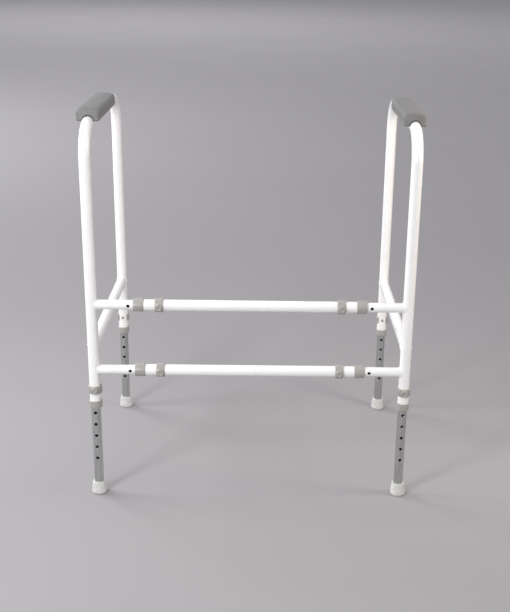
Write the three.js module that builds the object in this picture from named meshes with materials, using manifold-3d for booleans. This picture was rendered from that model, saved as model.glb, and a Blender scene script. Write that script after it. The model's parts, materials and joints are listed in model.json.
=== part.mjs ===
// A free-standing support frame that stands round a toilet. Two hooped side frames with arm pads
// are joined at the rear by two telescopic cross bars, and stand on four telescopic legs.
// Millimetres, +Z up. The origin is on the floor under the middle of the frame, +X is the
// user's right, and the user faces +Y, out of the open front.

import * as THREE from 'three';
import { mergeVertices } from 'three/addons/utils/BufferGeometryUtils.js';
import Module from 'manifold-3d';

const wasm = await Module();
wasm.setup();

// Layout
const LEG_SPAN = 623.4; // left leg axis to right leg axis
const LEG_DEPTH = 425.4; // rear leg axis to front leg axis
const HOOP_HEIGHT = 761.5; // axis of the hoop's top run
const HOOP_END = 198.5; // the hoop's two open lower ends
const BEND_RADIUS = 62; // at the tube's axis
const RAIL_HEIGHT = 327; // axis of the welded rail low on each side
const BAR_HEIGHTS = { upper: 413.6, lower: 276.2 };
const SIDES = { left: -1, right: 1 };
const ENDS = { rear: -1, front: 1 };

// Tubes: 7/8 inch outside, sliding over 3/4 inch inside
const OUTER_TUBE = { radius: 11.1, bore: 9.85 };
const INNER_TUBE = { radius: 9.525, bore: 8.3 };
const GAP = 0.3; // left between pieces that touch
const TUBE_FACETS = 16;
const BEND_STEPS = 6;

// Cross bars, measured inwards from the leg axis along X
const CROSS_TUBE_START = 86.3;
const BAR_PEG_INSET = 132.8;
const STUB_END = 165;
const STUB_HOLES = 3;
const STUB_HOLE_PITCH = 30;

// Legs
const LEG_PEG_HEIGHT = 234.5;
const LEG_HOLES = 7;
const LEG_HOLE_PITCH = 25.4;
const LEG_BOTTOM = 5.1;
const LEG_TOP = 280;

// Spring clips, each with a button outside and a peg through both tubes
const PEG_RADIUS = 2.9;
const PEG_HOLE_RADIUS = 3.25;
const HOLE_FACETS = 8;
const CLIP_FACETS = 14;
const CLIP = { radius: 14.15, height: 16, openAngle: 102, buttonRadius: 7, buttonFace: 17.65, pegTip: 12.1 };

// Plastic collars on the open ends of the outer tubes
const COLLAR_RADIUS = 13.2;
const COLLAR_LIP = 4.1; // how far a collar reaches past its tube's end
const COLLAR_CHAMFER = 1.2;
const BAR_COLLAR_LENGTH = 20.1;
const LEG_COLLAR_LENGTH = 15.5;

// Feet
const FERRULE = { height: 26, soleRadius: 14, footRadius: 15.8, footHeight: 5, floor: 3 };
const FERRULE_RIM = { radius: 13, ease: 0.6 };
const FERRULE_SOLE_EDGE = { radius: 15.4, height: 2 };
const WASHER = { radius: 9.3, hole: 4, thickness: 1.5 };

// Arm pads and the screws that hold them
const PAD = { width: 44.5, bottom: 762, top: 788, rear: -161, front: 58, corner: 7, edge: 4 };
const PAD_SCREW_PLACES = { rear: -112, front: 8 };
const SCREW = { headRadius: 4.2, headHeight: 2.6, shankRadius: 2.2, tip: 783 };
const SCREW_CLEARANCE = 0.35;

const COLOURS = {
  whitePaint: { color: 0xf1f1ef, roughness: 0.35, metalness: 0.1 },
  greyPlastic: { color: 0xa5a39e, roughness: 0.55, metalness: 0 },
  aluminium: { color: 0xb4b7b9, roughness: 0.4, metalness: 0.9 },
  greyRubber: { color: 0xc8c8c5, roughness: 0.8, metalness: 0 },
  padFoam: { color: 0x8a8a8b, roughness: 0.7, metalness: 0 },
  steel: { color: 0x9a9c9e, roughness: 0.35, metalness: 0.95 },
};

const frame = new THREE.Group();

// ---- Geometry helpers ----

function solidOf(geometry) {
  const plain = geometry.clone();
  plain.deleteAttribute('normal');
  plain.deleteAttribute('uv');
  const merged = mergeVertices(plain);
  return new wasm.Manifold(new wasm.Mesh({
    numProp: 3,
    vertProperties: new Float32Array(merged.attributes.position.array),
    triVerts: new Uint32Array(merged.index.array),
  }));
}

function geometryOf(solid) {
  const { vertProperties, triVerts } = solid.getMesh();
  const geometry = new THREE.BufferGeometry();
  geometry.setAttribute('position', new THREE.BufferAttribute(vertProperties, 3));
  geometry.setIndex(new THREE.BufferAttribute(triVerts, 1));
  return geometry;
}

function cut(geometry, cutters) {
  return geometryOf(cutters.reduce((solid, cutter) => solid.subtract(solidOf(cutter)), solidOf(geometry)));
}

function join(pieces) {
  return geometryOf(pieces.map(solidOf).reduce((solid, piece) => solid.add(piece)));
}

// A body turned about Z from [radius, height] points, which run anticlockwise.
function turned(profile, facets = TUBE_FACETS) {
  const points = profile.map(([radius, height]) => new THREE.Vector2(radius, height));
  return new THREE.LatheGeometry(points, facets).rotateX(Math.PI / 2);
}

// A straight tube from z = start to z = end.
function straightTube({ radius, bore }, start, end) {
  return turned([[radius, start], [radius, end], [bore, end], [bore, start], [radius, start]]);
}

// A solid round bar between two points.
function rod(radius, start, end, facets = HOLE_FACETS) {
  const from = new THREE.Vector3(...start);
  const along = new THREE.Vector3(...end).sub(from);
  const turn = new THREE.Quaternion().setFromUnitVectors(
    new THREE.Vector3(0, 1, 0),
    along.clone().normalize(),
  );
  const middle = from.addScaledVector(along, 0.5);
  return new THREE.CylinderGeometry(radius, radius, along.length(), facets)
    .applyQuaternion(turn)
    .translate(middle.x, middle.y, middle.z);
}

// A cutter for a peg hole that goes through a tube along Y.
function pegHole(x, z, y = 0) {
  const reach = OUTER_TUBE.radius * 2;
  return rod(PEG_HOLE_RADIUS, [x, y - reach, z], [x, y + reach, z]);
}

function add(name, geometry, colour, position, rotation = [0, 0, 0]) {
  const mesh = new THREE.Mesh(geometry, new THREE.MeshStandardMaterial(COLOURS[colour]));
  mesh.name = name;
  mesh.position.set(...position);
  mesh.rotation.set(...rotation);
  frame.add(mesh);
}

// ---- Side frames ----

// The hoop's axis: up the rear leg, over the bend, along the top and down the front leg.
// Its points are the ends of the straights and even steps round the bends.
class HoopAxis extends THREE.Curve {
  constructor() {
    super();
    const bendTop = HOOP_HEIGHT - BEND_RADIUS;
    const bendStart = LEG_DEPTH / 2 - BEND_RADIUS;
    this.stations = [{ y: -LEG_DEPTH / 2, z: HOOP_END, angle: 0 }];
    for (const end of Object.values(ENDS)) {
      for (let step = 0; step <= BEND_STEPS; step += 1) {
        const angle = (Math.PI / 2) * (step / BEND_STEPS + (end > 0 ? 1 : 0));
        this.stations.push({
          y: end * bendStart - BEND_RADIUS * Math.cos(angle),
          z: bendTop + BEND_RADIUS * Math.sin(angle),
          angle,
        });
      }
    }
    this.stations.push({ y: LEG_DEPTH / 2, z: HOOP_END, angle: Math.PI });
  }

  get steps() {
    return this.stations.length - 1;
  }

  getPointAt(share) {
    const { y, z } = this.stations[Math.round(share * this.steps)];
    return new THREE.Vector3(0, y, z);
  }

  getTangentAt(share) {
    const { angle } = this.stations[Math.round(share * this.steps)];
    return new THREE.Vector3(0, Math.sin(angle), Math.cos(angle));
  }
}

function hoopGeometry() {
  const section = new THREE.Shape();
  section.absarc(0, 0, OUTER_TUBE.radius, 0, Math.PI * 2);
  const bore = new THREE.Path();
  bore.absarc(0, 0, OUTER_TUBE.bore, 0, Math.PI * 2, true);
  section.holes.push(bore);
  const axis = new HoopAxis();
  const tube = new THREE.ExtrudeGeometry(section, {
    extrudePath: axis,
    steps: axis.steps,
    curveSegments: TUBE_FACETS / 2,
  });
  const pegHoles = Object.values(ENDS).map((end) => pegHole(0, LEG_PEG_HEIGHT, (end * LEG_DEPTH) / 2));
  const reach = OUTER_TUBE.radius * 2;
  const screwHoles = Object.values(PAD_SCREW_PLACES).map((y) => rod(
    SCREW.shankRadius + SCREW_CLEARANCE,
    [0, y, HOOP_HEIGHT - reach],
    [0, y, HOOP_HEIGHT + reach],
  ));
  return cut(tube, [...pegHoles, ...screwHoles]);
}

// A cutter that shapes a welded tube's end to the leg it meets.
function legCope(y) {
  return rod(OUTER_TUBE.radius + GAP, [0, y, -LEG_DEPTH], [0, y, LEG_DEPTH], TUBE_FACETS);
}

function railGeometry() {
  const halfLength = LEG_DEPTH / 2 - OUTER_TUBE.radius / 2;
  const tube = straightTube(OUTER_TUBE, -halfLength, halfLength).rotateX(Math.PI / 2);
  return cut(tube, Object.values(ENDS).map((end) => legCope((end * LEG_DEPTH) / 2)));
}

// The stub runs along +X from the leg that it is welded to.
function stubGeometry() {
  const tube = straightTube(INNER_TUBE, OUTER_TUBE.radius / 2, STUB_END).rotateY(Math.PI / 2);
  const holes = Array.from({ length: STUB_HOLES }, (_, k) => pegHole(BAR_PEG_INSET - STUB_HOLE_PITCH * k, 0));
  return cut(tube, [legCope(0), ...holes]);
}

function padGeometry() {
  const { width, bottom, top, rear, front, corner, edge } = PAD;
  const [halfWidth, halfLength] = [width / 2 - edge, (front - rear) / 2 - edge];
  const outline = new THREE.Shape();
  outline.absarc(halfWidth - corner, halfLength - corner, corner, 0, Math.PI / 2);
  outline.absarc(corner - halfWidth, halfLength - corner, corner, Math.PI / 2, Math.PI);
  outline.absarc(corner - halfWidth, corner - halfLength, corner, Math.PI, Math.PI * 1.5);
  outline.absarc(halfWidth - corner, corner - halfLength, corner, Math.PI * 1.5, Math.PI * 2);
  const block = new THREE.ExtrudeGeometry(outline, {
    depth: top - bottom - 2 * edge,
    bevelThickness: edge,
    bevelSize: edge,
    bevelSegments: 2,
    curveSegments: 2,
  }).translate(0, (front + rear) / 2, bottom + edge);
  const groove = rod(
    OUTER_TUBE.radius + GAP,
    [0, 2 * rear, HOOP_HEIGHT],
    [0, 2 * front, HOOP_HEIGHT],
    TUBE_FACETS,
  );
  const screwHoles = Object.values(PAD_SCREW_PLACES).map((y) => rod(
    SCREW.shankRadius + SCREW_CLEARANCE,
    [0, y, HOOP_HEIGHT],
    [0, y, SCREW.tip + GAP],
  ));
  return cut(block, [groove, ...screwHoles]);
}

// The screw's head bears on the underside of the hoop, and its point is up inside the pad.
function screwGeometry() {
  const { headRadius, headHeight, shankRadius, tip } = SCREW;
  const seat = HOOP_HEIGHT - OUTER_TUBE.radius - GAP;
  const taper = shankRadius * 1.5;
  return turned([
    [0, seat - headHeight],
    [headRadius * 0.7, seat - headHeight],
    [headRadius, seat - headHeight * 0.5],
    [headRadius, seat],
    [shankRadius, seat],
    [shankRadius, tip - taper],
    [0, tip],
  ], HOLE_FACETS);
}

// ---- Collars, clips, legs and feet ----

// A collar's lip is at z = 0 and closes down to the inner tube. The rest grips the outer tube.
function collarGeometry(length) {
  const lipBore = INNER_TUBE.radius + GAP;
  const gripBore = OUTER_TUBE.radius + GAP;
  const start = [COLLAR_RADIUS - COLLAR_CHAMFER, 0];
  return turned([
    start,
    [COLLAR_RADIUS, COLLAR_CHAMFER],
    [COLLAR_RADIUS, length - COLLAR_CHAMFER],
    [COLLAR_RADIUS - COLLAR_CHAMFER, length],
    [gripBore, length],
    [gripBore, COLLAR_LIP - GAP],
    [lipBore, COLLAR_LIP - GAP],
    [lipBore, 0],
    start,
  ]);
}

// A clip wraps a tube that runs along Z. Its button faces -Y and its open side faces +Y.
function clipGeometry() {
  const bore = OUTER_TUBE.radius + GAP;
  const armEnd = THREE.MathUtils.degToRad(90 - CLIP.openAngle / 2);
  const armStart = THREE.MathUtils.degToRad(90 + CLIP.openAngle / 2);
  const section = new THREE.Shape();
  section.absarc(0, 0, CLIP.radius, armStart, armEnd + Math.PI * 2, false);
  section.absarc(0, 0, bore, armEnd + Math.PI * 2, armStart, true);
  const ring = new THREE.ExtrudeGeometry(section, {
    depth: CLIP.height,
    bevelEnabled: false,
    curveSegments: CLIP_FACETS / 2,
  }).translate(0, 0, -CLIP.height / 2);
  const ringMiddle = (CLIP.radius + bore) / 2;
  const button = turned([
    [0, ringMiddle],
    [CLIP.buttonRadius, ringMiddle],
    [CLIP.buttonRadius, CLIP.buttonFace - 1],
    [CLIP.buttonRadius - 1, CLIP.buttonFace],
    [0, CLIP.buttonFace],
  ], CLIP_FACETS).rotateX(Math.PI / 2);
  const peg = rod(PEG_RADIUS, [0, -ringMiddle, 0], [0, CLIP.pegTip, 0]);
  return join([ring, button, peg]);
}

function legGeometry() {
  const holes = Array.from({ length: LEG_HOLES }, (_, k) => pegHole(0, LEG_PEG_HEIGHT - LEG_HOLE_PITCH * k));
  return cut(straightTube(INNER_TUBE, LEG_BOTTOM, LEG_TOP), holes);
}

function ferruleGeometry() {
  const { height, soleRadius, footRadius, footHeight, floor } = FERRULE;
  const bore = INNER_TUBE.radius + GAP;
  return turned([
    [0, 0],
    [soleRadius, 0],
    [FERRULE_SOLE_EDGE.radius, FERRULE_SOLE_EDGE.height],
    [footRadius, footHeight],
    [FERRULE_RIM.radius, height - FERRULE_RIM.ease],
    [FERRULE_RIM.radius - FERRULE_RIM.ease, height],
    [bore, height],
    [bore, floor],
    [0, floor],
  ]);
}

function washerGeometry() {
  return straightTube({ radius: WASHER.radius, bore: WASHER.hole }, 0, WASHER.thickness);
}

// ---- Assembly ----

const hoop = hoopGeometry();
const rail = railGeometry();
const stub = stubGeometry();
const pad = padGeometry();
const screw = screwGeometry();
const barCollar = collarGeometry(BAR_COLLAR_LENGTH);
const legCollar = collarGeometry(LEG_COLLAR_LENGTH);
const clip = clipGeometry();
const leg = legGeometry();
const ferrule = ferruleGeometry();
const washer = washerGeometry();

const rearY = -LEG_DEPTH / 2;
const crossTubeHalf = LEG_SPAN / 2 - CROSS_TUBE_START;
const barPegX = LEG_SPAN / 2 - BAR_PEG_INSET;
const crossTube = cut(
  straightTube(OUTER_TUBE, -crossTubeHalf, crossTubeHalf).rotateY(Math.PI / 2),
  Object.values(SIDES).map((side) => pegHole(side * barPegX, 0)),
);

for (const [level, height] of Object.entries(BAR_HEIGHTS)) {
  add(`${level}_cross_tube`, crossTube, 'whitePaint', [0, rearY, height]);
  for (const [sideName, side] of Object.entries(SIDES)) {
    const name = `${level}_${sideName}_bar`;
    const collarX = side * (crossTubeHalf + COLLAR_LIP);
    add(`${name}_collar`, barCollar, 'greyPlastic', [collarX, rearY, height], [0, (-side * Math.PI) / 2, 0]);
    add(`${name}_clip`, clip, 'greyPlastic', [side * barPegX, rearY, height], [0, Math.PI / 2, 0]);
  }
}

for (const [sideName, side] of Object.entries(SIDES)) {
  const x = (side * LEG_SPAN) / 2;
  add(`${sideName}_hoop`, hoop, 'whitePaint', [x, 0, 0]);
  add(`${sideName}_side_rail`, rail, 'whitePaint', [x, 0, RAIL_HEIGHT]);
  add(`${sideName}_arm_pad`, pad, 'padFoam', [x, 0, 0]);
  for (const [level, height] of Object.entries(BAR_HEIGHTS)) {
    const turn = side > 0 ? Math.PI : 0;
    add(`${level}_${sideName}_bar_stub`, stub, 'whitePaint', [x, rearY, height], [0, 0, turn]);
  }
  for (const [place, y] of Object.entries(PAD_SCREW_PLACES)) {
    add(`${sideName}_${place}_pad_screw`, screw, 'steel', [x, y, 0]);
  }
  for (const [endName, end] of Object.entries(ENDS)) {
    const y = (end * LEG_DEPTH) / 2;
    const name = `${endName}_${sideName}_leg`;
    const turn = end > 0 ? Math.PI : 0;
    add(`${name}_tube`, leg, 'aluminium', [x, y, 0]);
    add(`${name}_collar`, legCollar, 'greyPlastic', [x, y, HOOP_END - COLLAR_LIP]);
    add(`${name}_clip`, clip, 'greyPlastic', [x, y, LEG_PEG_HEIGHT], [0, 0, turn]);
    add(`${name}_ferrule`, ferrule, 'greyRubber', [x, y, 0]);
    add(`${name}_washer`, washer, 'steel', [x, y, FERRULE.floor + GAP]);
  }
}

export default frame;
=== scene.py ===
"""The looks of a toilet support frame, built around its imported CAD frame."""
import json
import math

import bmesh
import bpy
from mathutils import Matrix, Vector


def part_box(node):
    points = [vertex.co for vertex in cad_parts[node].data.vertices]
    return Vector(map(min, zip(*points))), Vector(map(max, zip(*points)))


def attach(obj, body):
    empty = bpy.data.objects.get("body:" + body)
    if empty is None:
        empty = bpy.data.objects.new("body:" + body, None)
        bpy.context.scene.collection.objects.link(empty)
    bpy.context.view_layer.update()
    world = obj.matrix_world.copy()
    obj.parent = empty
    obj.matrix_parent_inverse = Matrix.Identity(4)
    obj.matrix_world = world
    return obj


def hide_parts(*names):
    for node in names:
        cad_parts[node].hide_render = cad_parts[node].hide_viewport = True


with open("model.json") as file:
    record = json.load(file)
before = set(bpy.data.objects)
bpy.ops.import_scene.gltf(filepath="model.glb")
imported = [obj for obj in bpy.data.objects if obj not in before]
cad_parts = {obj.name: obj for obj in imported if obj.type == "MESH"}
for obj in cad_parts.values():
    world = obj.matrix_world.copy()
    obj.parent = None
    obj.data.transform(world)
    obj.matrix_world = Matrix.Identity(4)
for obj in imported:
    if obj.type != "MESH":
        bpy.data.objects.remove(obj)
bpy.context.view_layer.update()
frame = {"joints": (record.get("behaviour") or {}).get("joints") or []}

SIDES = {"left": -1, "right": 1}
ENDS = {"rear": -1, "front": 1}
LEVELS = ("upper", "lower")
X, Y, Z = Vector((1, 0, 0)), Vector((0, 1, 0)), Vector((0, 0, 1))

# Detail that the CAD solids leave out, in metres
WALL = 0.00125             # both tube sizes
PEG_HOLE = 0.00325         # radius
PEG = 0.0029               # radius
PEG_TIP = 0.0121           # how far a clip's peg reaches past the tube's axis
EDGE = 0.0003              # broken edge on a cut tube
WELD_BEAD = 0.0015         # radius
WELD_LIFT = 0.0005         # from the post's skin to the bead's middle, so that the bore stays clear
WELD_SINK = 0.0002         # how far a coped end goes into the tube it meets
FIT = 0.0001               # gap between a tube and what goes round it
HOLE_EASE = 0.00025        # rounding of a drilled hole's outer edge
HOLE_ROOM = 1.4            # from a hole's middle to its block's edge, in hole radii
COPE_ROOM = 0.004          # from a coped end to the first full ring

# Fineness of the meshes
AROUND = 48                # facets round a tube
BLOCK = 4                  # half the facets that make room for a hole
BEND_STEPS = 16
FILLET_STEPS = 5
SHARP = 35                 # degrees between two faces that make a crisp edge
SOFT = 60                  # the same for a weld and for foam
SAME_SPOT = 1e-7           # vertices nearer than this are one
ON_AXIS = 1e-9             # a radius below this is on the axis


# ---- What the frame says ----

def middle(node):
    low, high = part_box(node)
    return (low + high) / 2


def size(node):
    low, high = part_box(node)
    return high - low


def travel(joint):
    """How far a slide goes."""
    found = next(j for j in frame["joints"] if j["name"] == joint)
    return max(found["range_m"])


OUTER = size("upper_cross_tube").z / 2
INNER = size("rear_left_leg_tube").x / 2
LEG_HOLES = 7
LEG_HOLE_PITCH = travel("rear_left_leg_slide") / (LEG_HOLES - 1)
STUB_HOLES = 3
STUB_HOLE_PITCH = travel("left_width_slide") / (STUB_HOLES - 1)
LEG_X = middle("right_hoop").x
LEG_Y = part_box("right_hoop")[1].y - OUTER
PEG_Z = middle("rear_left_leg_clip").z
BAR_PEG_X = middle("upper_right_bar_clip").x
TOP_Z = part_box("left_hoop")[1].z - OUTER
BEND = 0.062               # radius of the hoop's bends


# ---- Materials ----

def new_material(name, colour, roughness, metallic=0.0):
    """A material with its shader, and a helper that adds nodes to it."""
    material = bpy.data.materials.new(name)
    material.use_nodes = True
    nodes, links = material.node_tree.nodes, material.node_tree.links
    shader = nodes["Principled BSDF"]
    shader.inputs["Base Color"].default_value = (*colour, 1)
    shader.inputs["Roughness"].default_value = roughness
    shader.inputs["Metallic"].default_value = metallic
    coordinates = nodes.new("ShaderNodeTexCoord")

    def add(kind, inputs=None, **settings):
        node = nodes.new("ShaderNode" + kind)
        for key, value in settings.items():
            setattr(node, key, value)
        for key, value in (inputs or {}).items():
            if isinstance(value, bpy.types.NodeSocket):
                links.new(value, node.inputs[key])
            else:
                node.inputs[key].default_value = value
        return node

    return material, shader, coordinates.outputs["Object"], add, links


def stretched(add, where, scale):
    return add("Mapping", {"Vector": where, "Scale": scale}).outputs["Vector"]


def noise(add, where, scale, detail, roughness=0.5):
    inputs = {"Vector": where, "Scale": scale, "Detail": detail, "Roughness": roughness}
    return add("TexNoise", inputs).outputs["Fac"]


def bumped(add, links, shader, height, strength, distance):
    """Gives the surface a fine relief."""
    bump = add("Bump", {"Height": height, "Strength": strength, "Distance": distance})
    links.new(bump.outputs["Normal"], shader.inputs["Normal"])


NOISE_RANGE = (0.35, 0.65)     # most of a noise's values


def spread(add, value, low, high):
    """Turns a noise value into one from low to high."""
    source_low, source_high = NOISE_RANGE
    return add("MapRange", {
        "Value": value, "From Min": source_low, "From Max": source_high, "To Min": low, "To Max": high,
    }).outputs["Result"]


def tinted(add, value, low, high):
    """Turns a noise value into a colour from low to high."""
    ramp = add("ValToRGB", {"Fac": value})
    for element, colour, position in zip(ramp.color_ramp.elements, (low, high), NOISE_RANGE):
        element.color = (*colour, 1)
        element.position = position
    return ramp.outputs["Color"]


def white_paint():
    """Powder coat: a hard white gloss with a slight orange peel and faint unevenness."""
    material, shader, where, add, links = new_material("white_powder_coat", (0.87, 0.87, 0.86), 0.28)
    shader.inputs["Coat Weight"].default_value = 0.8
    shader.inputs["Coat Roughness"].default_value = 0.14
    clouds = noise(add, where, 28, 4)
    links.new(tinted(add, clouds, (0.838, 0.836, 0.824), (0.852, 0.85, 0.84)), shader.inputs["Base Color"])
    links.new(spread(add, clouds, 0.26, 0.36), shader.inputs["Roughness"])
    peel = noise(add, where, 620, 2)
    bumped(add, links, shader, peel, 0.12, 0.0002)
    return material


def grey_plastic():
    """Moulded nylon: satin, a little mottled, with a fine spark-eroded grain."""
    material, shader, where, add, links = new_material("grey_nylon", (0.33, 0.322, 0.3), 0.26)
    shader.inputs["Coat Weight"].default_value = 0.5
    shader.inputs["Coat Roughness"].default_value = 0.2
    flow = noise(add, where, 160, 6, 0.65)
    links.new(tinted(add, flow, (0.315, 0.307, 0.285), (0.345, 0.337, 0.314)), shader.inputs["Base Color"])
    links.new(spread(add, flow, 0.26, 0.34), shader.inputs["Roughness"])
    grain = noise(add, where, 2600, 2)
    bumped(add, links, shader, grain, 0.14, 0.0001)
    return material


def aluminium():
    """Drawn tube: satin, with fine streaks along its length, which is the object's own Z."""
    material, shader, where, add, links = new_material("drawn_aluminium", (0.56, 0.57, 0.56), 0.28, 1.0)
    lines = stretched(add, where, (1, 1, 0.012))
    streaks = noise(add, lines, 900, 5, 0.7)
    broad = noise(add, stretched(add, where, (1, 1, 0.05)), 190, 2)
    links.new(tinted(add, broad, (0.53, 0.54, 0.532), (0.6, 0.612, 0.602)), shader.inputs["Base Color"])
    links.new(spread(add, streaks, 0.22, 0.32), shader.inputs["Roughness"])
    bumped(add, links, shader, streaks, 0.08, 0.00006)
    return material


def grey_rubber():
    """Ferrule rubber: matt, light grey, a little chalky, and darker in patches towards the floor."""
    material, shader, where, add, links = new_material("grey_rubber", (0.56, 0.56, 0.54), 0.62)
    chalk = noise(add, where, 120, 6, 0.6)
    chalky_tone = tinted(add, chalk, (0.52, 0.52, 0.5), (0.62, 0.62, 0.6))
    height = add("SeparateXYZ", {"Vector": where}).outputs["Z"]
    # the lowest few millimetres turn darker in patches, by height above the floor
    darkened_up_to = 0.005
    low = add("MapRange", {
        "Value": height, "From Min": 0.0, "From Max": darkened_up_to, "To Min": 1.0, "To Max": 0.0,
    }).outputs["Result"]
    dark_patches_near_floor = add("Math", {0: low, 1: chalk}, operation="MULTIPLY").outputs["Value"]
    darkened_near_floor = add("Mix", {"Factor": dark_patches_near_floor, "A": chalky_tone, "B": (0.33, 0.33, 0.32, 1)}, data_type="RGBA")
    links.new(darkened_near_floor.outputs["Result"], shader.inputs["Base Color"])
    links.new(spread(add, chalk, 0.55, 0.72), shader.inputs["Roughness"])
    grain = noise(add, where, 1700, 3)
    bumped(add, links, shader, grain, 0.3, 0.00015)
    return material


def pad_foam():
    """Self-skinned foam: a soft grey skin with a fine leather-like pebble."""
    material, shader, where, add, links = new_material("pad_skin", (0.175, 0.173, 0.172), 0.48)
    shader.inputs["Specular IOR Level"].default_value = 0.45
    clouds = noise(add, where, 45, 5)
    links.new(tinted(add, clouds, (0.165, 0.163, 0.162), (0.185, 0.183, 0.181)), shader.inputs["Base Color"])
    links.new(spread(add, clouds, 0.44, 0.52), shader.inputs["Roughness"])
    pebbles = add("TexVoronoi", {"Vector": where, "Scale": 900}, feature="SMOOTH_F1").outputs["Distance"]
    pores = noise(add, where, 2400, 2)
    skin = add("Math", {0: pebbles, 1: pores}, operation="ADD").outputs["Value"]
    bumped(add, links, shader, skin, 0.22, 0.0002)
    return material


def zinc_steel():
    """Zinc-plated steel: bright, with a faint blotchy passivation."""
    material, shader, where, add, links = new_material("zinc_steel", (0.6, 0.6, 0.61), 0.3, 1.0)
    blotch = noise(add, where, 380, 5)
    links.new(tinted(add, blotch, (0.5, 0.51, 0.53), (0.68, 0.68, 0.66)), shader.inputs["Base Color"])
    links.new(spread(add, blotch, 0.22, 0.42), shader.inputs["Roughness"])
    return material


def tube_inside():
    """The bare bore of a tube: dull and streaked by the drawing die. Its very dark colour is partly the
    bore's own dull finish and partly painted shade, so that the holes look black.
    """
    material, shader, where, add, links = new_material("tube_inside", (0.09, 0.09, 0.09), 0.7, 0.3)
    streaks = noise(add, where, 300, 4)
    links.new(tinted(add, streaks, (0.05, 0.05, 0.05), (0.13, 0.13, 0.125)), shader.inputs["Base Color"])
    return material


def pale_floor():
    """The studio's floor: matt, with very faint patches."""
    material, shader, where, add, links = new_material("studio_floor", (0.292, 0.284, 0.294), 0.8)
    patches = noise(add, where, 0.8, 3)
    links.new(tinted(add, patches, (0.288, 0.28, 0.29), (0.296, 0.288, 0.298)), shader.inputs["Base Color"])
    return material


MATERIALS = {
    "white_paint": white_paint(),
    "grey_plastic": grey_plastic(),
    "aluminium": aluminium(),
    "grey_rubber": grey_rubber(),
    "pad_foam": pad_foam(),
    "steel": zinc_steel(),
    "tube_inside": tube_inside(),
}


# ---- Mesh tools ----

def finished(mesh_data, name, sharp=SHARP):
    """Turns a bmesh into a mesh with smooth faces, outward normals and crisp edges."""
    bmesh.ops.remove_doubles(mesh_data, verts=mesh_data.verts, dist=SAME_SPOT)
    bmesh.ops.recalc_face_normals(mesh_data, faces=mesh_data.faces)
    mesh = bpy.data.meshes.new(name)
    mesh_data.to_mesh(mesh)
    mesh_data.free()
    mesh.polygons.foreach_set("use_smooth", [True] * len(mesh.polygons))
    mesh.set_sharp_from_angle(angle=math.radians(sharp))
    return mesh


def place(name, mesh, body, slot, nodes, at, turn=Matrix.Identity(4)):
    """Puts a mesh in the scene as a piece that rides on a body and stands for nodes of the CAD frame."""
    if not mesh.materials:
        mesh.materials.append(MATERIALS[slot])
    piece = bpy.data.objects.new(name, mesh)
    piece.matrix_world = Matrix.Translation(Vector(at)) @ turn
    bpy.context.scene.collection.objects.link(piece)
    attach(piece, body)
    if nodes:
        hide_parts(*nodes)
    return piece


def strip(mesh_data, ring_a, ring_b, surface=0):
    """Quads between two rings of vertices, with the material's number."""
    count = len(ring_a)
    for i in range(count):
        j = (i + 1) % count
        mesh_data.faces.new((ring_a[i], ring_a[j], ring_b[j], ring_b[i])).material_index = surface


def rounded(points):
    """A profile of (radius, height, fillet) points, with each corner turned into an arc."""
    made = []
    for i, (r, z, fillet) in enumerate(points):
        corner = Vector((r, z))
        if not fillet:
            made.append(corner)
            continue
        before = (Vector(points[i - 1][:2]) - corner).normalized()
        after = (Vector(points[(i + 1) % len(points)][:2]) - corner).normalized()
        half = before.angle(after) / 2
        reach = fillet / math.tan(half)
        centre = corner + (before + after).normalized() * fillet / math.sin(half)
        start, end = corner + before * reach - centre, corner + after * reach - centre
        for step in range(FILLET_STEPS + 1):
            made.append(centre + start.slerp(end, step / FILLET_STEPS).normalized() * fillet)
    return made


def spin(mesh_data, profile, facets, side, axis):
    """Turns a profile of (radius, height) about an axis, from X towards side.

    A profile that starts on the axis ends on it, and any other closes.
    """
    rings = []
    for point in profile:
        if point.x < ON_AXIS:
            rings.append([mesh_data.verts.new(axis * point.y)] * facets)
            continue
        ring = []
        for k in range(facets):
            turn = math.tau * k / facets
            across, along = point.x * math.cos(turn), point.x * math.sin(turn)
            ring.append(mesh_data.verts.new(X * across + side * along + axis * point.y))
        rings.append(ring)
    starts_on_axis = profile[0].x < ON_AXIS
    for i in range(len(rings) - 1 if starts_on_axis else len(rings)):
        a, b = rings[i], rings[(i + 1) % len(rings)]
        for k in range(facets):
            n = (k + 1) % facets
            corners = dict.fromkeys((a[k], a[n], b[n], b[k]))
            if len(corners) > 2:
                mesh_data.faces.new(list(corners))


def lathe(name, points, facets=64):
    """A body turned about Z from (radius, height, fillet) points."""
    mesh_data = bmesh.new()
    spin(mesh_data, rounded(points), facets, Y, Z)
    return finished(mesh_data, name)


def sweep(mesh_data, centres, frames, section, closed=False):
    """Moves section, a function of the station's number giving (across, up) points, along a line."""
    rings = []
    for i, (centre, (across, up)) in enumerate(zip(centres, frames)):
        rings.append([mesh_data.verts.new(centre + across * u + up * v) for u, v in section(i)])
    for i in range(len(rings) if closed else len(rings) - 1):
        strip(mesh_data, rings[i], rings[(i + 1) % len(rings)])
    if not closed:
        for ring in (rings[0], rings[-1]):
            mesh_data.faces.new(ring)


# ---- Drilled tubes ----

class StraightLine:
    """A tube's axis from start along a direction. front is where angle 0 looks."""

    def __init__(self, direction, front, length):
        self.direction, self.front, self.length = direction, front, length
        self.side = direction.cross(front)
        self.stations = [0, length]

    def at(self, s):
        return self.direction * s, self.front, self.side


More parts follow.
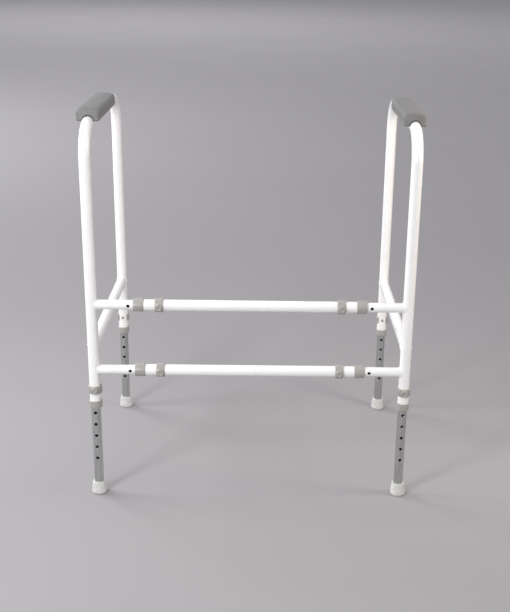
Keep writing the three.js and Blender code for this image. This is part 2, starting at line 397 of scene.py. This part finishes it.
class HoopLine:
    """The hoop's axis from its rear lower end, over the top, to its front one. Angle 0 is outwards."""

    def __init__(self, low, top, half_depth, bend):
        self.upright = top - bend - low
        self.arc = bend * math.pi / 2
        self.run = 2 * (half_depth - bend)
        self.low, self.bend, self.half_depth = low, bend, half_depth
        self.length = 2 * (self.upright + self.arc) + self.run
        first, last = self.upright, self.upright + self.arc + self.run
        self.stations = [0, self.length]
        for k in range(BEND_STEPS + 1):
            step = self.arc * k / BEND_STEPS
            self.stations += [first + step, last + step]

    def at(self, s):
        if s > self.length / 2:
            point, out, side = self.at(self.length - s)
            return Vector((0, -point.y, point.z)), Vector((0, -out.y, out.z)), side
        if s <= self.upright:
            return Vector((0, -self.half_depth, self.low + s)), -Y, X
        centre = Vector((0, self.bend - self.half_depth, self.low + self.upright))
        angle = min((s - self.upright) / self.bend, math.pi / 2)
        out = Vector((0, -math.cos(angle), math.sin(angle)))
        along = max(0, s - self.upright - self.arc)
        return centre + out * self.bend + Y * along, out, X


def tube_rows(line, blocks, ends):
    """Every station that a tube needs a ring at, in order. A block keeps other rings out."""
    rows = [s for s in line.stations if ends[0] < s < ends[1]] + [ends[0] + EDGE, ends[1] - EDGE]
    for s, _, _, reach in blocks:
        kept_out = reach * 1.02
        rows = [r for r in rows if abs(r - s) > kept_out]
        rows += [s + reach * k / BLOCK for k in range(-BLOCK, BLOCK + 1)]
    rows.sort()
    kept = [rows[0]]
    for r in rows[1:]:
        if r - kept[-1] > 1e-6:
            kept.append(r)
    return kept


def drilled_tube(name, slot, line, radius, holes=(), start_cope=None, end_cope=None):
    """A tube with a wall, its bore open, and round holes drilled through the wall.

    Each hole is (station, column, hole radius), and column is 0 at the front and AROUND / 2 behind.
    A cope is the radius of the round tube that the end is shaped to fit. That tube's axis crosses at
    the end, square to the line and to its front.
    """
    bore = radius - WALL
    blocks = [(s, column, hole, hole * HOLE_ROOM) for s, column, hole in holes]
    low = start_cope + COPE_ROOM if start_cope else 0
    high = line.length - end_cope - COPE_ROOM if end_cope else line.length
    rows = tube_rows(line, blocks, (low, high))
    mesh_data = bmesh.new()
    columns = [math.tau * k / AROUND for k in range(AROUND)]

    def spot(s, angle, r):
        point, front, side = line.at(s)
        return mesh_data.verts.new(point + (front * math.cos(angle) + side * math.sin(angle)) * r)

    def end_ring(cope, at_end, r, break_edge):
        """A square end with its edge broken, or a coped one."""
        ring = []
        for angle in columns:
            reach = 0
            if cope:
                reach = math.sqrt(max((cope - WELD_SINK) ** 2 - (r * math.cos(angle)) ** 2, 0))
            ring.append(spot(line.length - reach if at_end else reach, angle, r if cope else r - break_edge))
        return ring

    def skin(r, break_edge, surface):
        """One face of the wall, with a gap in its grid of vertices for each block."""
        first = end_ring(start_cope, False, r, break_edge)
        last = end_ring(end_cope, True, r, break_edge)
        taken = set()
        for s, column, _, reach in blocks:
            for i, row in enumerate(rows):
                if abs(row - s) < reach - 1e-6:
                    taken.update((i, k % AROUND) for k in range(column - BLOCK + 1, column + BLOCK))
        grid = [
            [None if (i, k) in taken else spot(row, angle, r) for k, angle in enumerate(columns)]
            for i, row in enumerate(rows)
        ]
        strip(mesh_data, first, grid[0], surface=surface)
        strip(mesh_data, grid[-1], last, surface=surface)
        for i in range(len(rows) - 1):
            for k in range(AROUND):
                n = (k + 1) % AROUND
                corners = (grid[i][k], grid[i][n], grid[i + 1][n], grid[i + 1][k])
                in_block = any(
                    abs((rows[i] + rows[i + 1]) / 2 - s) < reach
                    and (k - column + BLOCK) % AROUND < 2 * BLOCK
                    for s, column, _, reach in blocks
                )
                if not in_block:
                    mesh_data.faces.new(corners).material_index = surface
        return first, last, grid

    def hole_ring(block, r, hole):
        s, column, _, _ = block
        ring = []
        count = 8 * BLOCK
        for k in range(count):
            turn = math.tau * k / count - math.pi / 4
            angle = columns[column % AROUND] + math.asin(hole * math.cos(turn) / r)
            ring.append(spot(s + hole * math.sin(turn), angle, r))
        return ring

    def border(block, grid):
        """The block's edge vertices, anticlockwise from its low corner on the side that angles grow to."""
        s, column, _, _ = block
        near = min(range(len(rows)), key=lambda i: abs(rows[i] - s))
        low, high, left, right = near - BLOCK, near + BLOCK, column - BLOCK, column + BLOCK
        steps = range(2 * BLOCK)
        path = [(low + k, right) for k in steps] + [(high, right - k) for k in steps]
        path += [(high - k, left) for k in steps] + [(low, left + k) for k in steps]
        return [grid[i][k % AROUND] for i, k in path]

    outside = skin(radius, EDGE, 0)
    inside = skin(bore, -EDGE / 2, 1)
    strip(mesh_data, outside[0], inside[0])
    strip(mesh_data, outside[1], inside[1])
    for block in blocks:
        hole = block[2]
        flat = 0.0006              # ring of skin round the hole that stays undistorted
        edge, deep = border(block, outside[2]), border(block, inside[2])
        rings = [
            edge,
            hole_ring(block, radius, hole + flat),
            hole_ring(block, radius, hole + HOLE_EASE),
            hole_ring(block, radius - HOLE_EASE, hole),
            hole_ring(block, bore, hole),
            deep,
        ]
        for a, b in zip(rings, rings[1:]):
            strip(mesh_data, a, b, surface=int(b is deep))
    mesh = finished(mesh_data, name)
    mesh.materials.append(MATERIALS[slot])
    # the bore's faces take tube_inside, whose very dark colour is partly painted shade
    mesh.materials.append(MATERIALS["tube_inside"])
    return mesh


def through(stations, radius=PEG_HOLE):
    """Holes through the front and the back wall at each station."""
    return [(s, column, radius) for s in stations for column in (0, AROUND // 2)]


# ---- Welds ----

def weld_mesh(name, tube, post):
    """The bead where a round tube along +X meets an upright post on the Z axis."""
    count, facets = 96, 10
    ripples, ripple_depth = 20, 0.1
    least_depth = 0.12         # in post radii, where the tube is as wide as the post
    post += WELD_LIFT
    centres, frames = [], []
    for k in range(count):
        angle = math.tau * k / count
        across, up = tube * math.cos(angle), tube * math.sin(angle)
        depth = math.sqrt(max(post ** 2 - across ** 2, (least_depth * post) ** 2))
        centres.append(Vector((depth, across, up)))
    for k in range(count):
        along = (centres[(k + 1) % count] - centres[k - 1]).normalized()
        outward = Vector((0, math.cos(math.tau * k / count), math.sin(math.tau * k / count)))
        across = along.cross(outward).normalized()
        frames.append((across, across.cross(along)))

    def section(i):
        radius = WELD_BEAD * (1 + ripple_depth * math.sin(math.tau * i * ripples / count))
        turns = (math.tau * t / facets for t in range(facets))
        return [(radius * math.cos(t), radius * math.sin(t)) for t in turns]

    mesh_data = bmesh.new()
    sweep(mesh_data, centres, frames, section, closed=True)
    return finished(mesh_data, name, SOFT)


# ---- Collars, clips and feet ----

def collar_mesh(name, node, length):
    """A collar with its lip at z = 0, where the wall steps in to the inner tube."""
    radius = size(node).y / 2      # legs stand and bars lie along X, so Y is across both
    grip, slip, lip = OUTER + FIT, INNER + FIT, 0.0041
    mouth, draft = 0.0012, 0.0002
    return lathe(name, [
        (slip, 0.0004, 0.0003),
        (slip + mouth, 0, 0.0005),
        (radius - draft, 0, 0.0014),
        (radius, length * 0.3, 0.0),
        (radius, length, 0.0009),
        (grip, length, 0.0003),
        (grip, lip, 0.0),
        (slip, lip, 0.0),
    ])


def clip_mesh(node):
    """A spring clip round a tube along Z: the button faces -Y, and the arms end in turned-out lips."""
    reach = size(node)
    outer, bore = reach.x / 2, OUTER + FIT
    half_opening = math.radians(51)
    lip_steps, lip_flare = 5, 0.0008
    tip_steps, tip_corner, least_tip = 3, 0.0022, 0.04     # least_tip is a share of the wall, squared
    edge = 0.0009
    mesh_data = bmesh.new()
    count = 72
    centres, frames = [], []
    start, end = math.pi / 2 + half_opening, math.pi * 2.5 - half_opening
    for k in range(count + 1):
        angle = start + (end - start) * k / count
        out = Vector((math.cos(angle), math.sin(angle), 0))
        near_tip = max(0, 1 - min(k, count - k) / lip_steps)
        centres.append(out * ((outer + bore) / 2 + near_tip ** 2 * lip_flare))
        frames.append((out, Z))

    def section(i):
        near_tip = max(0, 1 - min(i, count - i) / tip_steps)
        half_wall = (outer - bore) / 2 * math.sqrt(max(1 - near_tip ** 2, least_tip))
        half_height = reach.z / 2 - tip_corner * (1 - math.sqrt(max(1 - near_tip ** 2, 0)))
        fillet = min(half_wall * 0.9, edge)
        corners = [(half_wall, half_height), (-half_wall, half_height),
                   (-half_wall, -half_height), (half_wall, -half_height)]
        points = []
        for n, (u, v) in enumerate(corners):
            centre = (u - math.copysign(fillet, u), v - math.copysign(fillet, v))
            for t in range(5):
                turn = math.pi / 2 * (n + t / 4)
                points.append((centre[0] + fillet * math.cos(turn), centre[1] + fillet * math.sin(turn)))
        return points

    sweep(mesh_data, centres, frames, section)
    add_button(mesh_data, outer, reach.y - PEG_TIP)
    return finished(mesh_data, "spring_clip")


def add_button(mesh_data, outer, face):
    """The clip's button, slightly dished, and its peg, both turned about -Y."""
    button_foot, peg_foot = outer - 0.002, outer - 0.001       # both start inside the clip's wall
    dish = face - 0.0005
    button = [
        (0, button_foot, 0),
        (0.0071, button_foot, 0),
        (0.0068, face, 0.0012),
        (0.0048, face, 0.0004),
        (0.0042, dish, 0.0004),
        (0, dish, 0),
    ]
    peg = [
        (0, -PEG_TIP, 0),
        (PEG, -PEG_TIP, 0.0008),
        (PEG, peg_foot, 0),
        (0, peg_foot, 0),
    ]
    for points in (button, peg):
        spin(mesh_data, rounded(points), 40, Z, -Y)


def ferrule_mesh(node):
    """A rubber foot: two grooves round its sole, sides that taper upwards, and a rim at the top."""
    radius, height = size(node).x / 2, size(node).z
    bore, rim, floor = INNER + 2 * FIT, 0.013, 0.003
    groove_depth, groove_side, groove_edge = 0.0011, 0.0005, 0.0003
    profile = [(0, 0, 0)]
    for inner, outer in ((0.0055, 0.0083), (0.0112, 0.014)):
        profile += [
            (inner, 0, groove_edge),
            (inner + groove_side, groove_depth, groove_edge),
            (outer - groove_side, groove_depth, groove_edge),
            (outer, 0, groove_edge),
        ]
    return lathe("ferrule", profile + [
        (radius - 0.0009, 0, 0.0009),
        (radius, 0.0035, 0.002),
        (rim + 0.00035, height - 0.0034, 0.0008),
        (rim, height - 0.0031, 0.0004),
        (rim, height, 0.0009),
        (bore, height, 0.0004),
        (bore, floor, 0.0006),
        (0, floor, 0),
    ])


# ---- Arm pads ----

# How far each part of a pad's outline draws in at its ends
PAD_ENDS = {"top": 0.0036, "side": 0.0062, "lobe": 0.0038, "groove": 0.0014}


def pad_section(half_width, bottom, top, tube, groove):
    """The pad's outline across the tube: (point, outward normal, end rounding), from the pad's middle.

    tube is the height of the tube's axis, and groove the radius of the saddle that sits on it.
    """
    outline = []

    def arc(x, z, radius, start, end, steps, rounding):
        for step in range(steps + 1):
            turn = math.radians(start + (end - start) * step / steps)
            way = Vector((math.cos(turn), math.sin(turn)))
            outline.append((Vector((x, z)) + way * radius, way, rounding))

    def parting(sign):
        """The fine groove along one side, where the mould's halves met."""
        seam, half_gap, depth = bottom + 0.0075, 0.0005, 0.00035
        for lift, sunk in ((-half_gap, 0), (0, depth), (half_gap, 0)):
            point = Vector((sign * (half_width - sunk), seam + sign * lift))
            outline.append((point, Vector((sign, 0)), PAD_ENDS["side"]))

    lobe, shoulder, crown = 0.0042, 0.0068, 0.0014
    arc(half_width - lobe, bottom + lobe, lobe, -90, 0, 7, PAD_ENDS["lobe"])
    parting(1)
    arc(half_width - shoulder, top - crown - shoulder, shoulder, 0, 80, 8, PAD_ENDS["side"])
    reach, half_steps, fullness, tilt = half_width - shoulder, 6, 2.4, 0.12
    for step in range(-half_steps, half_steps + 1):
        share = -step / half_steps
        point = Vector((share * reach, top - crown * abs(share) ** fullness))
        outline.append((point, Vector((tilt * share, 1)).normalized(), PAD_ENDS["top"]))
    arc(shoulder - half_width, top - crown - shoulder, shoulder, 100, 180, 8, PAD_ENDS["side"])
    parting(-1)
    arc(lobe - half_width, bottom + lobe, lobe, 180, 270, 7, PAD_ENDS["lobe"])
    inner = math.sqrt(groove ** 2 - (bottom - tube) ** 2)
    lip, saddle_steps = 0.0012, 20
    arc(-inner - lip, bottom + lip, lip, 270, 350, 4, PAD_ENDS["groove"])
    for step in range(1, saddle_steps):
        turn = math.radians(172 - 164 * step / saddle_steps)
        way = Vector((math.cos(turn), math.sin(turn)))
        outline.append((Vector((0, tube)) + way * groove, -way, PAD_ENDS["groove"]))
    arc(inner + lip, bottom + lip, lip, 190, 270, 4, PAD_ENDS["groove"])
    return outline


def pad_mesh(node):
    """A moulded foam pad: a crowned bar with a saddle underneath, rounded ends and a leaning rear."""
    low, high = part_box(node)
    centre = (low + high) / 2
    half = (high - low) / 2
    outline = pad_section(half.x, -half.z, half.z, TOP_Z - centre.z, OUTER + FIT)
    end_steps, steps = 7, 24
    stations = []
    for step in range(end_steps + 1):
        turn = math.pi / 2 * (1 - step / end_steps)
        stations.append((1 - math.sin(turn), 1 - math.cos(turn)))
    rings = []

    def ring(y, inset):
        rings.append([(p - n * r * inset, y) for p, n, r in outline])

    rear_depth, front_depth, front_fullness = 0.0036, 0.0075, 1.5
    for along, inset in stations:
        ring(-half.y + rear_depth * along, inset)
    for step in range(1, steps):
        ring(-half.y + rear_depth + (2 * half.y - rear_depth - front_depth) * step / steps, 0)
    for along, inset in reversed(stations):
        ring(half.y - front_depth * along, inset * front_fullness)
    waist_pull, waist_dip = 0.014, 0.0006
    rear_lean, lean_from, lean_over = 0.0028, 0.02, 0.018
    mesh_data = bmesh.new()
    made = []
    for points in rings:
        row = []
        for point, y in points:
            # the long sides pull in a little between the ends, and the top dips with them
            waist = 1 - (y / half.y) ** 2
            rise = max(0, point.y / half.z)
            narrowed, lowered = 1 - waist_pull * waist * rise, waist_dip * waist * rise ** 3
            # the rear end leans in by a few degrees, most at its top
            near_rear = min(1, max(0, (-y - half.y + lean_from) / lean_over))
            lean = rear_lean * (point.y / half.z + 1) / 2 * near_rear
            row.append(mesh_data.verts.new((point.x * narrowed, y + lean, point.y - lowered)))
        made.append(row)
    for a, b in zip(made, made[1:]):
        strip(mesh_data, a, b)
    for row in (made[0], made[-1]):
        mesh_data.faces.new(row)
    return finished(mesh_data, "arm_pad", SOFT), centre


# ---- Screws and washers ----

def screw_mesh(node):
    """A pan-head screw, its head down, with a cross recess."""
    length, head = size(node).z, size(node).x / 2
    thick, shank, point, seated = 0.0026, 0.0022, 0.0033, 0.0003
    recess_length, recess_width, recess_depth = 0.0042, 0.0009, 0.0014
    mesh = lathe("pad_screw", [
        (0, 0, 0),
        (head * 0.72, 0, 0.001),
        (head, thick * 0.55, 0.001),
        (head, thick + seated, 0.0003),
        (shank, thick + seated, 0),
        (shank, length - point, 0),
        (0, length, 0),
    ], 32)
    cutter_data = bmesh.new()
    for turn in (0, math.pi / 2):
        cross = Matrix.Diagonal((recess_length, recess_width, 2 * recess_depth, 1))
        shape = Matrix.Rotation(turn, 4, "Z") @ cross
        bmesh.ops.create_cube(cutter_data, size=1, matrix=shape)
    cutter = bpy.data.objects.new("recess_cutter", finished(cutter_data, "recess_cutter"))
    body = bpy.data.objects.new("recess_body", mesh)
    for thing in (cutter, body):
        bpy.context.scene.collection.objects.link(thing)
    modifier = body.modifiers.new("recess", "BOOLEAN")
    modifier.object, modifier.operation, modifier.use_self = cutter, "DIFFERENCE", True
    graph = bpy.context.evaluated_depsgraph_get()
    cut = bpy.data.meshes.new_from_object(body.evaluated_get(graph))
    bpy.data.objects.remove(body)
    bpy.data.objects.remove(cutter)
    cut.set_sharp_from_angle(angle=math.radians(SHARP))
    return cut


def washer_mesh(node):
    """The plain washer inside a foot."""
    radius, height = size(node).x / 2, size(node).z
    hole = 0.004
    return lathe("washer", [
        (hole, 0, 0.0002),
        (radius, 0, 0.0003),
        (radius, height, 0.0003),
        (hole, height, 0.0002),
    ], 48)


# ---- Assembly ----

def turned_to(axis_from, axis_to):
    return axis_from.rotation_difference(axis_to).to_matrix().to_4x4()


def make_cross_bars():
    half = size("upper_cross_tube").x / 2
    line = StraightLine(Z, -Y, 2 * half)
    holes = through([half - BAR_PEG_X, half + BAR_PEG_X])
    tube = drilled_tube("cross_tube", "white_paint", line, OUTER, holes)
    along_x = turned_to(Z, X)
    collar_length = size("upper_left_bar_collar").x
    collar = collar_mesh("bar_collar", "upper_left_bar_collar", collar_length)
    for level in LEVELS:
        height = middle(f"{level}_cross_tube").z
        start = (-half, -LEG_Y, height)
        place(f"{level}_bar_tube", tube, "cross_bars", "white_paint", [f"{level}_cross_tube"], start, along_x)
        for side, sign in SIDES.items():
            node = f"{level}_{side}_bar_collar"
            lip_x = sign * max(abs(v.x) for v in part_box(node))
            inwards = turned_to(Z, -sign * X)
            place(f"{level}_{side}_end_collar", collar, "cross_bars", "grey_plastic", [node],
                  (lip_x, -LEG_Y, height), inwards)


def make_clips():
    mesh = clip_mesh("rear_left_leg_clip")
    lying = Matrix.Rotation(math.pi / 2, 4, "Y")
    for side, sign in SIDES.items():
        for end, way in ENDS.items():
            node = f"{end}_{side}_leg_clip"
            turn = Matrix.Rotation(math.pi if way > 0 else 0, 4, "Z")
            place(f"{end}_{side}_leg_spring_clip", mesh, node, "grey_plastic", [node],
                  (sign * LEG_X, way * LEG_Y, PEG_Z), turn)
        for level in LEVELS:
            node = f"{level}_{side}_bar_clip"
            place(f"{level}_{side}_bar_spring_clip", mesh, node, "grey_plastic", [node],
                  (sign * BAR_PEG_X, -LEG_Y, middle(node).z), lying)


def make_hoops():
    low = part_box("left_hoop")[0].z
    line = HoopLine(low, TOP_Z, LEG_Y, BEND)
    holes = through([PEG_Z - low, line.length - (PEG_Z - low)])
    screw_hole = 0.0026
    for end in ENDS:
        y = middle(f"left_{end}_pad_screw").y
        holes += through([line.length / 2 + y], screw_hole)
    hoop = drilled_tube("hoop", "white_paint", line, OUTER, holes)
    rail_line = StraightLine(Z, -X, 2 * LEG_Y)
    rail = drilled_tube("side_rail", "white_paint", rail_line, OUTER, start_cope=OUTER, end_cope=OUTER)
    stub_length = LEG_X - min(abs(v.x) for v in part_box("upper_right_bar_stub"))
    stub_line = StraightLine(Z, -Y, stub_length)
    stub_holes = through([LEG_X - BAR_PEG_X - STUB_HOLE_PITCH * k for k in range(STUB_HOLES)])
    stub = drilled_tube("bar_stub", "white_paint", stub_line, INNER, stub_holes, start_cope=OUTER)
    rail_weld = weld_mesh("rail_weld", OUTER, OUTER)
    stub_weld = weld_mesh("stub_weld", INNER, OUTER)
    rail_z = middle("left_side_rail").z
    for side, sign in SIDES.items():
        body = f"{side}_side_frame"
        x = sign * LEG_X
        place(f"{side}_bent_hoop", hoop, body, "white_paint", [f"{side}_hoop"], (x, 0, 0))
        place(f"{side}_low_rail", rail, body, "white_paint", [f"{side}_side_rail"],
              (x, -LEG_Y, rail_z), turned_to(Z, Y))
        for end, way in ENDS.items():
            place(f"{side}_{end}_rail_weld", rail_weld, body, "white_paint", (),
                  (x, way * LEG_Y, rail_z), Matrix.Rotation(-way * math.pi / 2, 4, "Z"))
        for level in LEVELS:
            node = f"{level}_{side}_bar_stub"
            at = (x, -LEG_Y, middle(node).z)
            place(f"{level}_{side}_stub", stub, body, "white_paint", [node], at, turned_to(Z, -sign * X))
            place(f"{level}_{side}_stub_weld", stub_weld, body, "white_paint", (), at,
                  Matrix.Rotation(math.pi if sign > 0 else 0, 4, "Z"))


def make_pads():
    pad, centre = pad_mesh("left_arm_pad")
    screw = screw_mesh("left_rear_pad_screw")
    for side, sign in SIDES.items():
        body = f"{side}_side_frame"
        piece = place(f"{side}_pad", pad, body, "pad_foam", [f"{side}_arm_pad"],
                      (sign * LEG_X, centre.y, centre.z))
        for end in ENDS:
            node = f"{side}_{end}_pad_screw"
            at = (sign * LEG_X, middle(node).y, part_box(node)[0].z)
            place(f"{side}_{end}_screw", screw, body, "steel", [node], at)


def make_legs():
    low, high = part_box("rear_left_leg_tube")
    line = StraightLine(Z, -Y, high.z - low.z)
    holes = through([PEG_Z - low.z - LEG_HOLE_PITCH * k for k in range(LEG_HOLES)])
    tube = drilled_tube("leg_tube", "aluminium", line, INNER, holes)
    ferrule = ferrule_mesh("rear_left_leg_ferrule")
    washer = washer_mesh("rear_left_leg_washer")
    collar = collar_mesh("leg_collar", "rear_left_leg_collar", size("rear_left_leg_collar").z)
    for side, sign in SIDES.items():
        for end, way in ENDS.items():
            leg = f"{end}_{side}_leg"
            x, y = sign * LEG_X, way * LEG_Y
            place(f"{leg}_inner_tube", tube, leg, "aluminium", [f"{leg}_tube"], (x, y, low.z))
            place(f"{leg}_foot", ferrule, leg, "grey_rubber", [f"{leg}_ferrule"], (x, y, 0))
            washer_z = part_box(f"{leg}_washer")[0].z
            place(f"{leg}_foot_washer", washer, leg, "steel", [f"{leg}_washer"], (x, y, washer_z))
            collar_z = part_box(f"{leg}_collar")[0].z
            place(f"{leg}_end_collar", collar, f"{side}_side_frame", "grey_plastic", [f"{leg}_collar"],
                  (x, y, collar_z))


# ---- Studio ----

def make_camera():
    """The camera, with the place, turn and lens that were fitted to the photograph."""
    data = bpy.data.cameras.new("camera")
    data.sensor_width = 36
    data.lens = 60.45
    data.shift_x = -0.0612
    camera = bpy.data.objects.new("camera", data)
    tilt, pan, roll = math.radians(90 - 19.321), math.radians(-1.628), math.radians(1.218)
    turn = Matrix.Rotation(pan, 4, "Z") @ Matrix.Rotation(tilt, 4, "X") @ Matrix.Rotation(roll, 4, "Z")
    camera.matrix_world = Matrix.Translation((0.0282, -2.1199, 1.0839)) @ turn
    bpy.context.scene.collection.objects.link(camera)
    bpy.context.scene.camera = camera


def make_floor():
    """A plain floor, wide enough to fill the camera's view."""
    mesh_data = bmesh.new()
    bmesh.ops.create_grid(mesh_data, x_segments=24, y_segments=24, size=60)
    floor = bpy.data.objects.new("studio_floor", finished(mesh_data, "studio_floor"))
    floor.data.materials.append(pale_floor())
    bpy.context.scene.collection.objects.link(floor)


def add_softbox(name, power, width, height, at, target=(0, 0, 0.35), colour=(1, 1, 1), beam=180):
    """An area light. A beam under 180 degrees is cut by a grid, to keep a background light off the object."""
    data = bpy.data.lights.new(name, "AREA")
    data.color, data.spread = colour, math.radians(beam)
    data.energy, data.shape, data.size, data.size_y = power, "RECTANGLE", width, height
    light = bpy.data.objects.new(name, data)
    light.location = at
    light.rotation_euler = (Vector(target) - Vector(at)).to_track_quat("-Z", "Y").to_euler()
    light.visible_camera = False
    bpy.context.scene.collection.objects.link(light)


def make_lights():
    """A white studio: softboxes left, right and in front, and two over the floor behind."""
    add_softbox("key", 28, 0.5, 0.5, (-1.36, -1.71, 1.7))
    add_softbox("left_strip", 6.5, 0.3, 0.6, (-1.2, 0.05, 1.1))
    add_softbox("right_strip", 4.6, 0.25, 0.6, (0.88, -0.24, 0.9), colour=(1, 0.87, 0.75))
    add_softbox("front", 10, 0.9, 0.9, (-0.75, -3.4, 1.45))
    add_softbox("low_front", 4.2, 0.4, 0.4, (-0.75, -1.75, 0.85), (-0.31, -0.2, 0.7))
    add_softbox("behind", 155, 2.5, 2.5, (-4.5, 3.2, 3.4), (-2, 3.4, 0), beam=140)
    add_softbox("far", 230, 7, 7, (-3, 13, 8), (-1, 13, 0), beam=110)
    world = bpy.data.worlds.new("studio")
    world.use_nodes = True
    background = world.node_tree.nodes["Background"]
    background.inputs["Color"].default_value = (0.97, 0.96, 1.0, 1)
    background.inputs["Strength"].default_value = 0.66
    bpy.context.scene.world = world
    bpy.context.scene.view_settings.view_transform = "Standard"


make_camera()
make_cross_bars()
make_clips()
make_hoops()
make_pads()
make_legs()
make_floor()
make_lights()
